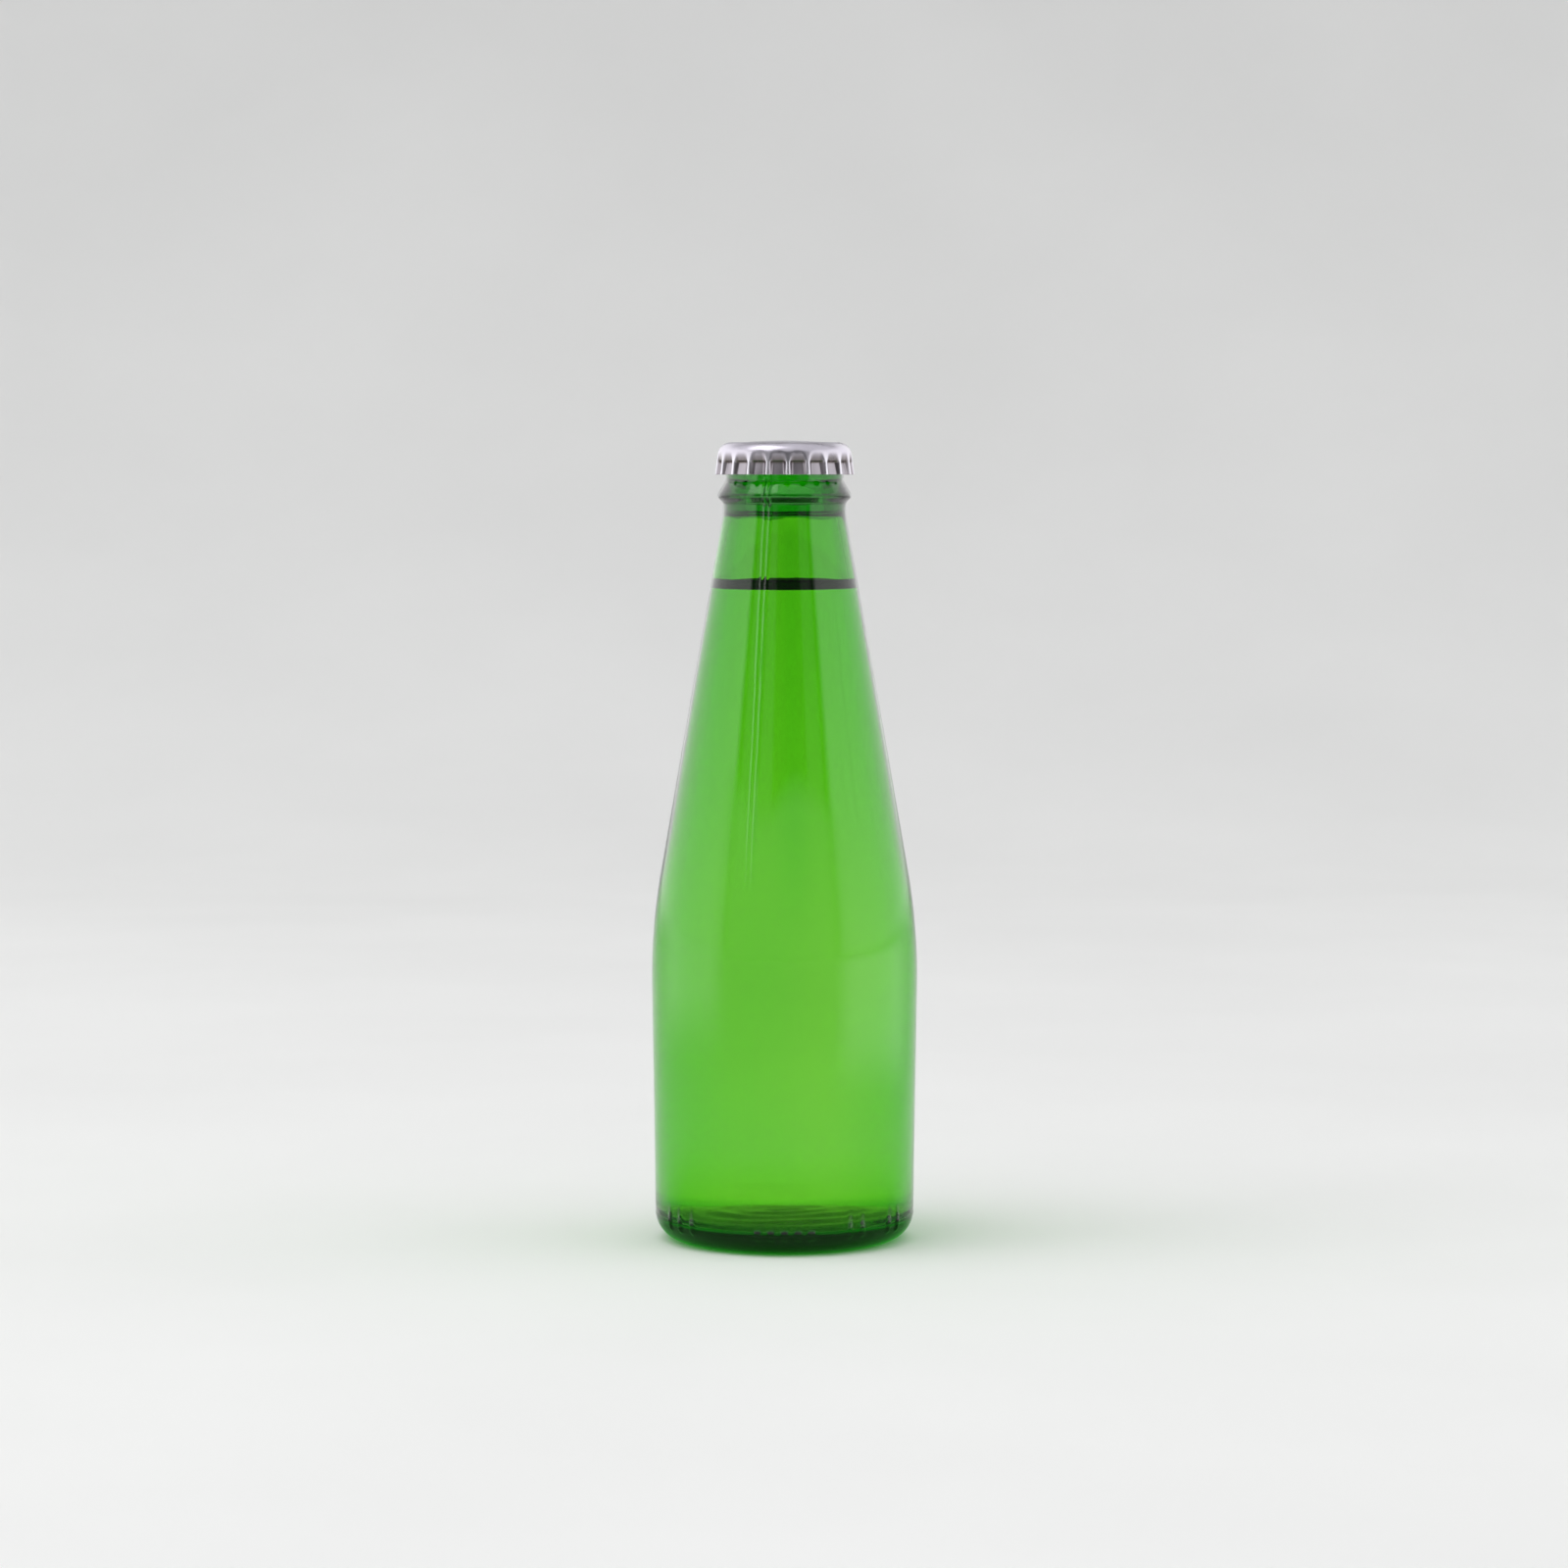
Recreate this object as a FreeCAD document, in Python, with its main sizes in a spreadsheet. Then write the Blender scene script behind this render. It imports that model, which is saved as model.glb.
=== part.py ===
"""Soda water bottle: green glass bottle, its soda water and a crimped crown cap.

Millimetres, +Z up. The origin is the centre of the ring that the bottle stands on, and the
bottle's front, with the row of dots on its heel, faces -Y.
"""

import FreeCAD
import Part

import math
import os

import Sketcher

# Driving sizes. A height is above the standing surface, a drop is down from the lip, and a radius
# is from the bottle's axis.
SIZES = [
    # outside of the glass, from the base up
    ("push_up", 2.4, "height of the hollow under the base"),
    ("bearing_width", 1.75, "width of the flat ring that the bottle stands on"),
    ("foot_radius", 26.65, "body radius at the foot, before the heel is rounded"),
    ("heel_rounding", 5.9, "rounding between base and body"),
    ("shoulder_radius", 27.6, "body radius where body and neck cone would meet"),
    ("shoulder_height", 64.5, "height where body and neck cone would meet"),
    ("shoulder_rounding", 125.0, "long rounding from body to neck cone"),
    ("lip_height", 164.0, "top of the glass"),
    ("neck_radius", 12.62, "straight neck between the cone and the bead"),
    ("cone_drop", 14.5, "top of the neck cone"),
    ("cone_rounding", 14.0, "rounding from cone to straight neck"),
    ("bead_foot_drop", 12.1, "foot of the bead"),
    ("bead_step", 1.33, "how far the bead stands out of the neck, before its edge is rounded"),
    ("bead_drop", 10.77, "the bead's edge"),
    ("bead_rounding", 1.0, "rounding of the bead's edge"),
    ("bead_root_rounding", 0.6, "rounding under the bead"),
    ("finish_radius", 12.08, "straight part of the finish, below the crown"),
    ("finish_drop", 7.6, "top of the bead's upper slope"),
    ("finish_rounding", 1.5, "rounding above the bead's slope"),
    ("ring_step", 0.82, "how far the locking ring stands out of the finish"),
    ("ring_foot_drop", 4.1, "start of the slope under the locking ring"),
    ("ring_drop", 3.0, "lower edge of the locking ring"),
    ("ring_rounding", 0.4, "rounding of the locking ring's lower edges"),
    ("lip_rounding", 2.4, "outer rounding of the lip"),
    ("mouth_rounding", 0.8, "inner rounding of the lip"),
    # inside of the glass
    ("wall", 2.1, "side wall, measured level"),
    ("base_thickness", 4.8, "glass at the middle of the base"),
    ("floor_edge_height", 3.9, "inside floor at the wall, before rounding"),
    ("inner_heel_rounding", 3.0, "rounding between floor and wall"),
    ("bore_radius", 8.0, "bore through the finish"),
    ("bore_length", 13.6, "straight bore, from the lip"),
    ("bore_rounding", 0.8, "rounding at the lower end of the bore"),
    ("flare_slope", 61.5, "degrees from the axis, of the inside where the wall thickens into the finish"),
    ("flare_rounding", 1.5, "rounding where the wall starts to thicken"),
    # dots moulded on the heel
    ("dot_count", 5, "dots in the row"),
    ("dot_pitch", 5.9, "degrees from dot to dot"),
    ("dot_ball", 1.2, "radius of the ball that each dot is the crown of"),
    ("dot_rise", 0.35, "how far a dot stands out of the heel"),
    ("dot_turn", 16.75, "degrees round the heel's rounding, down from the body"),
    # soda water
    ("fill_drop", 29.8, "flat part of the surface"),
    ("meniscus_rise", 2.0, "rise of the surface at the wall"),
    ("meniscus_width", 2.8, "width of the curved rim of the surface"),
    # crown cap, made of sheet and crimped under the locking ring
    ("sheet", 0.24, "thickness of the tinplate"),
    ("crown_rise", 0.36, "rise of the domed panel over the mouth"),
    ("crown_clearance", 0.28, "room between the locking ring and the inside of the crown"),
    ("crown_rounding", 2.25, "rounding from panel to skirt, outside"),
    ("skirt_drop", 6.35, "lower edge of the skirt"),
    ("skirt_flare", 0.88, "how far the flutes' ridges spread from the shoulder to the lower edge"),
    ("flute_count", 21, "flutes round the skirt"),
    ("flute_phase", 3.0, "degrees from the front to the nearest ridge, towards +X"),
    ("flute_drop", 1.7, "where the flutes start"),
    ("crimp_drop", 3.9, "where the valleys are pressed in furthest"),
    ("crimp_hook", 0.24, "how far the valleys' inside reaches in past the locking ring's edge"),
    ("edge_depth", 0.72, "depth of the valleys at the lower edge"),
]

RAYS_PER_FLUTE = 8
SKIRT_LEVELS = 8
VALLEY_BREADTH = 0.7    # power of the flute wave: under 1 makes the valleys broader than the ridges
MOST_GLASS = 0.5        # share of the bottle's outside form that the glass may fill
SAME_EDGE = 1e-4        # an edge this near to a corner's place is the corner's edge


def below_lip(drop):
    """Height of a place given by its drop, as an expression."""
    return f"(sizes.lip_height - sizes.{drop})"


CONE_SLOPE = (f"((sizes.shoulder_radius - sizes.neck_radius)"
              f" / ({below_lip('cone_drop')} - sizes.shoulder_height))")


def cone_radius(height):
    """Outside radius of the neck cone at a height, as an expression."""
    return f"(sizes.shoulder_radius - {CONE_SLOPE} * ({height} - sizes.shoulder_height))"


# Places that more than one piece or feature goes by, as expressions.
BEARING_RADIUS = "(sizes.foot_radius - sizes.heel_rounding - sizes.bearing_width)"
RING_RADIUS = "(sizes.finish_radius + sizes.ring_step)"
FLOOR = ("0", "sizes.push_up + sizes.base_thickness")
FLOOR_EDGE = ("sizes.foot_radius - sizes.wall", "sizes.floor_edge_height")
INNER_SHOULDER = ("sizes.shoulder_radius - sizes.wall", "sizes.shoulder_height")
PANEL_TOP = "(sizes.lip_height + sizes.sheet)"
PANEL_RADIUS = "(sizes.bore_radius + sizes.mouth_rounding)"
CROWN_RADIUS = f"({RING_RADIUS} + sizes.crown_clearance + sizes.sheet)"


def make_sheet(doc):
    """Write the driving sizes to a spreadsheet, one aliased cell each."""
    sheet = doc.addObject("Spreadsheet::Sheet", "sizes")
    for row, (alias, value, meaning) in enumerate(SIZES, start=1):
        sheet.set(f"A{row}", alias.replace("_", " "))
        sheet.set(f"B{row}", str(value))
        sheet.set(f"C{row}", meaning)
        sheet.setAlias(f"B{row}", alias)
    doc.recompute()
    return sheet


def measure(item, expression):
    """Present value of an expression, in millimetres or degrees."""
    return float(item.evalExpression(expression))


def origin_feature(body, role):
    """The body's own origin plane or axis with this role."""
    return next(item for item in body.Origin.OriginFeatures if item.Role == role)


def make_profile(body, name, corners, arcs):
    """Half section on the body's XZ plane, each corner bound to the sheet.

    corners: list of (radius expression, height expression), in order; a radius of "0" lies on
    the axis and a height of "0" on the standing surface.
    arcs: {index: kind} for the sides that start at that corner and aren't straight. "dome" has
    its centre on the axis, and "dish" has it straight above the side's lower end.
    """
    sketch = body.newObject("Sketcher::SketchObject", name)
    sketch.AttachmentSupport = (origin_feature(body, "XZ_Plane"), [""])
    sketch.MapMode = "FlatFace"
    places = [FreeCAD.Vector(measure(sketch, radius), measure(sketch, height), 0)
              for radius, height in corners]
    starts = []
    for index, here in enumerate(places):
        there = places[(index + 1) % len(places)]
        side = arc_side(here, there, arcs[index]) if index in arcs else Part.LineSegment(here, there)
        sketch.addGeometry(side, False)
        flipped = side.StartPoint.distanceToPoint(here) > side.EndPoint.distanceToPoint(here)
        starts.append(2 if flipped else 1)
    for index, start in enumerate(starts):
        following = (index + 1) % len(places)
        ends = (index, 3 - start, following, starts[following])
        sketch.addConstraint(Sketcher.Constraint("Coincident", *ends))
    for index, (radius, height) in enumerate(corners):
        bind(sketch, "DistanceX", index, starts[index], radius)
        bind(sketch, "DistanceY", index, starts[index], height)
    for index, kind in arcs.items():
        if kind == "dome":
            sketch.addConstraint(Sketcher.Constraint("PointOnObject", index, 3, -2))
        else:
            sketch.addConstraint(Sketcher.Constraint("Vertical", index, 3, index, 3 - starts[index]))
    return sketch


def arc_side(here, there, kind):
    """Arc from here to there whose centre lies as its kind says."""
    centre_x = 0.0 if kind == "dome" else there.x
    gap = there - here
    middle = (here + there) * 0.5
    centre_y = middle.y + (middle.x - centre_x) * gap.x / gap.y
    centre = FreeCAD.Vector(centre_x, centre_y, 0)
    circle = Part.Circle(centre, FreeCAD.Vector(0, 0, 1), centre.distanceToPoint(here))
    turns = [math.atan2(spot.y - centre_y, spot.x - centre_x) % (2 * math.pi) for spot in (here, there)]
    return Part.ArcOfCircle(circle, min(turns), max(turns))


def bind(sketch, kind, side, point, expression):
    """Constrain one coordinate of a point, from the origin, to an expression."""
    if expression == "0":
        axis = -2 if kind == "DistanceX" else -1
        sketch.addConstraint(Sketcher.Constraint("PointOnObject", side, point, axis))
        return
    value = measure(sketch, expression)
    number = sketch.addConstraint(Sketcher.Constraint(kind, -1, 1, side, point, value))
    sketch.setExpression(f"Constraints[{number}]", expression)


def spin(body, sketch, kind, name):
    """Turn a half section round the bottle's axis, as a Revolution or a Groove."""
    feature = body.newObject(f"PartDesign::{kind}", name)
    feature.Profile = sketch
    feature.ReferenceAxis = (sketch, ["V_Axis"])
    feature.Angle = 360
    body.Document.recompute()
    return feature


def round_corner(body, name, corner, rounding):
    """Fillet the circular edge that a corner of the section has made."""
    base = body.Tip
    radius, height = (measure(base, expression) for expression in corner)
    names = []
    for number, edge in enumerate(base.Shape.Edges, start=1):
        if edge.Degenerated or not isinstance(edge.Curve, Part.Circle):
            continue
        if math.hypot(edge.Curve.Radius - radius, edge.Curve.Center.z - height) < SAME_EDGE:
            names.append(f"Edge{number}")
    if not names:
        raise RuntimeError(f"{name}: no edge to round")
    fillet = body.newObject("PartDesign::Fillet", name)
    fillet.Base = (base, names)
    fillet.setExpression("Radius", rounding)
    body.Document.recompute()


def round_inside(body):
    """Round the corners that the inside of the glass and the soda water share."""
    round_corner(body, "inner_heel", FLOOR_EDGE, "sizes.inner_heel_rounding")
    round_corner(body, "inner_shoulder", INNER_SHOULDER, "sizes.shoulder_rounding - sizes.wall")


def make_glass(doc):
    """The bottle: its outside turned as one form, then hollowed, with the dots on its heel."""
    body = doc.addObject("PartDesign::Body", "glass_bottle")
    body.Label = "glass_bottle"
    make_outside(body)
    outside_volume = body.Shape.Volume
    cut_inside(body)
    if body.Shape.Volume > MOST_GLASS * outside_volume:
        raise RuntimeError("the inside was not cut out of the glass")
    add_heel_dots(body)
    return body


def make_outside(body):
    """Outside form of the glass, from the hollow under the base to the lip."""
    foot = ("sizes.foot_radius", "0")
    shoulder = ("sizes.shoulder_radius", "sizes.shoulder_height")
    cone_end = ("sizes.neck_radius", below_lip("cone_drop"))
    bead_root = ("sizes.neck_radius", below_lip("bead_foot_drop"))
    bead = ("sizes.neck_radius + sizes.bead_step", below_lip("bead_drop"))
    finish_foot = ("sizes.finish_radius", below_lip("finish_drop"))
    ring_foot = ("sizes.finish_radius", below_lip("ring_foot_drop"))
    ring = (RING_RADIUS, below_lip("ring_drop"))
    lip = (RING_RADIUS, "sizes.lip_height")
    corners = [("0", "sizes.push_up"), (BEARING_RADIUS, "0"), foot, shoulder, cone_end, bead_root, bead,
               finish_foot, ring_foot, ring, lip, ("0", "sizes.lip_height")]
    spin(body, make_profile(body, "outside_section", corners, {0: "dome"}), "Revolution", "outside")
    round_corner(body, "heel", foot, "sizes.heel_rounding")
    round_corner(body, "shoulder", shoulder, "sizes.shoulder_rounding")
    round_corner(body, "cone_end", cone_end, "sizes.cone_rounding")
    round_corner(body, "bead_root", bead_root, "sizes.bead_root_rounding")
    round_corner(body, "bead_edge", bead, "sizes.bead_rounding")
    round_corner(body, "finish_foot", finish_foot, "sizes.finish_rounding")
    round_corner(body, "ring_foot", ring_foot, "sizes.ring_rounding")
    round_corner(body, "ring_edge", ring, "sizes.ring_rounding")
    round_corner(body, "lip_edge", lip, "sizes.lip_rounding")


def cut_inside(body):
    """Inside of the glass: floor, wall, the flare where the wall thickens, and the bore.

    The flare runs down from the bore at its own slope and starts where it meets the inside of the
    cone; both lines are written by the radius that they would have at the standing surface.
    """
    bore_foot = ("sizes.bore_radius", below_lip("bore_length"))
    flare_slope = "tan(sizes.flare_slope * 1 deg)"
    base_cone_radius = f"(sizes.shoulder_radius + {CONE_SLOPE} * sizes.shoulder_height - sizes.wall)"
    base_flare_radius = f"({bore_foot[0]} + {flare_slope} * {bore_foot[1]})"
    flare_foot = f"(({base_flare_radius} - {base_cone_radius}) / ({flare_slope} - {CONE_SLOPE}))"
    flare = (f"{cone_radius(flare_foot)} - sizes.wall", flare_foot)
    mouth = ("sizes.bore_radius", "sizes.lip_height")
    corners = [FLOOR, FLOOR_EDGE, INNER_SHOULDER, flare, bore_foot, mouth, ("0", "sizes.lip_height")]
    spin(body, make_profile(body, "inside_section", corners, {0: "dome"}), "Groove", "inside")
    round_inside(body)
    round_corner(body, "flare", flare, "sizes.flare_rounding")
    round_corner(body, "bore_foot", bore_foot, "sizes.bore_rounding")
    round_corner(body, "mouth_edge", mouth, "sizes.mouth_rounding")


def add_heel_dots(body):
    """Row of low dots on the front of the heel, each the crown of a ball sunk in the glass."""
    reach = "(sizes.heel_rounding + sizes.dot_rise - sizes.dot_ball)"
    from_axis = f"(sizes.foot_radius - sizes.heel_rounding + {reach} * cos(sizes.dot_turn * 1 deg))"
    first_turn = "((sizes.dot_count - 1) * sizes.dot_pitch / 2 * 1 deg)"
    ball = body.newObject("PartDesign::AdditiveSphere", "heel_dot")
    ball.AttachmentSupport = (origin_feature(body, "XY_Plane"), [""])
    ball.MapMode = "FlatFace"
    ball.setExpression("Radius", "sizes.dot_ball")
    ball.setExpression(".AttachmentOffset.Base.x", f"-{from_axis} * sin({first_turn})")
    ball.setExpression(".AttachmentOffset.Base.y", f"-{from_axis} * cos({first_turn})")
    ball.setExpression(".AttachmentOffset.Base.z",
                       f"sizes.heel_rounding - {reach} * sin(sizes.dot_turn * 1 deg)")
    body.Document.recompute()
    row = body.newObject("PartDesign::PolarPattern", "heel_dot_row")
    row.Originals = [ball]
    row.Axis = (origin_feature(body, "Z_Axis"), [""])
    row.setExpression("Occurrences", "sizes.dot_count")
    row.setExpression("Angle", "sizes.dot_pitch * (sizes.dot_count - 1)")
    body.Tip = row
    body.Document.recompute()


def make_water(doc):
    """The soda water: it fills the inside of the glass up to its level, and climbs the wall a little."""
    body = doc.addObject("PartDesign::Body", "soda_water")
    body.Label = "soda_water"
    level = below_lip("fill_drop")
    rim_height = f"({level} + sizes.meniscus_rise)"
    rim_radius = f"{cone_radius(rim_height)} - sizes.wall"
    corners = [FLOOR, FLOOR_EDGE, INNER_SHOULDER, (rim_radius, rim_height),
               (f"{rim_radius} - sizes.meniscus_width", level), ("0", level)]
    spin(body, make_profile(body, "water_section", corners, {0: "dome", 3: "dish"}), "Revolution", "water")
    round_inside(body)
    return body


def make_crown_panel(doc):
    """The crown's top: a slightly domed panel with a rounded shoulder, down to where the flutes start."""
    body = doc.addObject("PartDesign::Body", "crown_panel")
    inner_radius = f"({CROWN_RADIUS} - sizes.sheet)"
    below = f"({below_lip('flute_drop')} - sizes.crown_rounding)"
    shoulder = (CROWN_RADIUS, PANEL_TOP)
    inner_shoulder = (inner_radius, "sizes.lip_height")
    corners = [("0", f"{PANEL_TOP} + sizes.crown_rise"), (PANEL_RADIUS, PANEL_TOP), shoulder,
               (CROWN_RADIUS, below), (inner_radius, below), inner_shoulder,
               (PANEL_RADIUS, "sizes.lip_height"), ("0", "sizes.lip_height + sizes.crown_rise")]
    spin(body, make_profile(body, "crown_section", corners, {0: "dome", 6: "dome"}), "Revolution", "panel")
    round_corner(body, "crown_shoulder", shoulder, "sizes.crown_rounding")
    round_corner(body, "crown_shoulder_inside", inner_shoulder, "sizes.crown_rounding - sizes.sheet")
    inside_room = f"{inner_radius} - sizes.sheet"
    outside_room = f"{CROWN_RADIUS} + sizes.sheet"
    skirt_room = [(inside_room, below), (outside_room, below), (outside_room, below_lip("flute_drop")),
                  (inside_room, below_lip("flute_drop"))]
    spin(body, make_profile(body, "skirt_room_section", skirt_room, {}), "Groove", "skirt_room")
    return body


def skirt_levels(sheet, inset):
    """Sections of the skirt from the flutes' start down, as (ridge radius, height, flute depth).

    inset: 0 for the outside of the sheet, or its thickness for the inside.
    """
    crown_radius = measure(sheet, CROWN_RADIUS)
    rounding = sheet.crown_rounding
    skirt_top = measure(sheet, PANEL_TOP) - rounding
    flute_top, crimp, edge = (measure(sheet, below_lip(drop))
                              for drop in ("flute_drop", "crimp_drop", "skirt_drop"))

    def ridge_radius(height):
        if height > skirt_top:
            return crown_radius - rounding + math.sqrt((rounding - inset) ** 2 - (height - skirt_top) ** 2)
        return crown_radius + sheet.skirt_flare * (skirt_top - height) / (skirt_top - edge) - inset

    hooked_radius = measure(sheet, RING_RADIUS) - sheet.crimp_hook + sheet.sheet
    crimp_depth = ridge_radius(crimp) + inset - hooked_radius

    def flute_depth(height):
        if height < crimp:
            share = (crimp - height) / (crimp - edge)
            return crimp_depth + (sheet.edge_depth - crimp_depth) * share
        share = (flute_top - height) / (flute_top - crimp)
        return crimp_depth * share * share * (3 - 2 * share)

    heights = [flute_top + (edge - flute_top) * step / SKIRT_LEVELS for step in range(SKIRT_LEVELS + 1)]
    return [(ridge_radius(height), height, flute_depth(height)) for height in heights]


def fluted_wire(sheet, radius, height, depth):
    """Closed smooth curve round the crown at one height, pressed in at each valley."""
    count = int(sheet.flute_count) * RAYS_PER_FLUTE
    points = []
    for ray in range(count):
        wave = ((1 - math.cos(2 * math.pi * ray / RAYS_PER_FLUTE)) / 2) ** VALLEY_BREADTH
        turn = math.radians(sheet.flute_phase - 90) + 2 * math.pi * ray / count
        reach = radius - depth * wave
        points.append(FreeCAD.Vector(reach * math.cos(turn), reach * math.sin(turn), height))
    curve = Part.BSplineCurve()
    curve.interpolate(Points=points, PeriodicFlag=True)
    return Part.Wire([curve.toShape()])


def make_skirt(sheet):
    """Fluted skirt: an outer and an inner loft, joined by a flat rim at the top and at the lower edge."""
    sides = [Part.makeLoft([fluted_wire(sheet, *level) for level in skirt_levels(sheet, inset)], False, False)
             for inset in (0.0, sheet.sheet)]
    rims = [sorted((edge for edge in side.Edges if edge.isClosed()), key=lambda edge: edge.BoundBox.ZMax)
            for side in sides]
    faces = sides[0].Faces + sides[1].Faces
    for outer_edge, inner_edge in zip(*rims):
        rim = Part.Face([Part.Wire([outer_edge]), Part.Wire([inner_edge])])
        rim.validate()
        faces.append(rim)
    shell = Part.Shell(faces)
    shell.sewShape()
    return Part.Solid(shell)


def make_crown(doc, sheet):
    """The crown cap: its panel rests on the lip, and its fluted skirt is crimped under the locking ring."""
    skirt = doc.addObject("Part::Feature", "crown_skirt")
    skirt.Shape = make_skirt(sheet)
    skirt.Placement = FreeCAD.Placement()
    crown = doc.addObject("Part::Fuse", "crown_cap")
    crown.Label = "crown_cap"
    crown.Base = make_crown_panel(doc)
    crown.Tool = skirt
    doc.recompute()
    return crown


def check_objects(doc):
    """Stop if any object of the document failed."""
    for item in doc.Objects:
        if any(state in ("Invalid", "Error") for state in item.State):
            raise RuntimeError(f"{item.Name}: {item.State}")


def export(parts):
    """Check each piece, then write one STEP file for each, named after its node."""
    for piece in parts:
        shape = piece.Shape
        if shape.isNull() or not shape.isValid() or len(shape.Solids) != 1:
            raise RuntimeError(f"{piece.Label}: not one valid solid")
    os.makedirs("parts", exist_ok=True)
    for piece in parts:
        print(f"{piece.Label}: {piece.Shape.Volume / 1000:.2f} ml")
        piece.Shape.exportStep(f"parts/{piece.Label}.step")


def main():
    """Build the document, check it and write the pieces."""
    doc = FreeCAD.newDocument("soda_water_bottle")
    sheet = make_sheet(doc)
    parts = [make_glass(doc), make_water(doc), make_crown(doc, sheet)]
    doc.recompute()
    check_objects(doc)
    export(parts)


main()
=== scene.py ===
"""Looks of a small green bottle of soda water with a crimped crown cap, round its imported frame.

Drawing sizes are in millimetres and angles in degrees. Angles round the bottle count from its
front, -Y, towards +X. Meshes are made in metres, in the frame's own place.
"""

import logging
import math
from dataclasses import dataclass, field
from enum import Enum
from typing import Callable

import bpy
import numpy as np
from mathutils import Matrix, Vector


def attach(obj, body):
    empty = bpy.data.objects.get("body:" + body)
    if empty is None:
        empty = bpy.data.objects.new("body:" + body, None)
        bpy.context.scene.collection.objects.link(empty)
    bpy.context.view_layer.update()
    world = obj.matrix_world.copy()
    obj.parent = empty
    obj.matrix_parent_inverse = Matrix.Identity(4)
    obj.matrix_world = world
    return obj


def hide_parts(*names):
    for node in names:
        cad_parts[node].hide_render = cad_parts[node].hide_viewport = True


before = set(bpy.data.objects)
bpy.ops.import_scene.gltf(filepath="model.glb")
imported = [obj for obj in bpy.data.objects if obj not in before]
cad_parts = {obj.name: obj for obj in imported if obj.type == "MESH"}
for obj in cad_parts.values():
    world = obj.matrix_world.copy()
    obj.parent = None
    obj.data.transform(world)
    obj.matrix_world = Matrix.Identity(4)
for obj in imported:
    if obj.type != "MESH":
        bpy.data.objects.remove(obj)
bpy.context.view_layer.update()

LOG = logging.getLogger("soda_bottle")
VALLEY_SHADE = "valley_shade"
RIDGE_HIGHLIGHT = "ridge_highlight"
GLOW = "glow"
# turn, height and depth of soft patches where the wall is thicker or, below 0, thinner
WALL_PATCHES = ((-75.0, 30.0, 0.22), (70.0, 34.0, 0.25), (35.0, 62.0, -0.14),
                (-38.0, 66.0, -0.10), (22.0, 38.0, -0.12))
PATCH_TURN = 22.0
PATCH_HEIGHT = 16.0
# depth, waves in a full turn, phase and slant up the bottle of the upright streaks in the wall
WALL_STREAKS = ((0.08, 2.0, -0.9, 1.0 / 60.0), (0.05, 3.0, 1.9, 1.0 / 90.0),
                (0.04, 5.0, 0.4, -1.0 / 70.0), (0.03, 9.0, 0.0, 1.0 / 45.0))
# the part of a noise pattern's range that its values mostly keep to
PATTERN_MIDDLE = (0.3, 0.7)
MM = 0.001
Grid = np.ndarray
Colour = tuple[float, float, float]
Place = tuple[float, float, float]
Node = bpy.types.Node
Socket = bpy.types.NodeSocket


class Body(Enum):
    """Bodies of the frame that a piece can ride on."""

    ROOT = "root"


def smooth_step(low: float | Grid, high: float | Grid, value: Grid) -> Grid:
    """Ease from 0 at low to 1 at high.

    Args:
        low: where the result leaves 0.
        high: where the result reaches 1.
        value: the places to read.

    Returns:
        The eased shares, in value's shape.
    """
    share = np.clip((value - low) / (high - low), 0.0, 1.0)
    return share * share * (3.0 - 2.0 * share)


def angle_between(first: Grid, second: float | Grid) -> Grid:
    """Signed difference of two angles in degrees, from -180 to 180."""
    return (first - second + 180.0) % 360.0 - 180.0


# --------------------------------------------------------------------------- half sections


@dataclass(frozen=True)
class Corner:
    """A corner of a half section, with its rounding and the sampling of the side after it.

    radius and height place it, rounding is its fillet, and step is the longest sampled length.
    """

    radius: float
    height: float
    rounding: float = 0.0
    step: float = 2.0
    arc_step: float = 0.25


def dome_corners(low_radius: float, low_height: float, top_height: float, count: int) -> list[Corner]:
    """Corners along a shallow dome, from the axis out to its edge.

    Args:
        low_radius: radius of the dome's edge.
        low_height: height of the dome's edge.
        top_height: height at the axis.
        count: how many steps there are from the axis to the edge.

    Returns:
        The corners, the first on the axis and the last on the edge.
    """
    rise = top_height - low_height
    ball = (low_radius ** 2 + rise ** 2) / (2.0 * rise)
    corners = []
    for step in range(count + 1):
        radius = low_radius * step / count
        height = top_height - ball + math.copysign(math.sqrt(ball ** 2 - radius ** 2), ball)
        corners.append(Corner(radius, height, step=low_radius / count * 1.1))
    return corners


def sample_section(corners: list[Corner]) -> Grid:
    """Points along a half section, with straight sides divided and roundings as arcs.

    Args:
        corners: the section's corners in order; the first and last are its ends.

    Returns:
        An array of (radius, height) rows.
    """
    places = [np.array([corner.radius, corner.height]) for corner in corners]
    points = [places[0]]
    for index in range(1, len(corners)):
        here = places[index]
        if index < len(corners) - 1 and corners[index].rounding > 0.0:
            arc = rounded_corner(places[index - 1], here, places[index + 1], corners[index])
        else:
            arc = [here]
        run = arc[0] - points[-1]
        parts = max(1, math.ceil(float(np.hypot(*run)) / corners[index - 1].step))
        start = points[-1]
        points.extend(start + run * part / parts for part in range(1, parts + 1))
        points.extend(arc[1:])
    return np.array(points)


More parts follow.
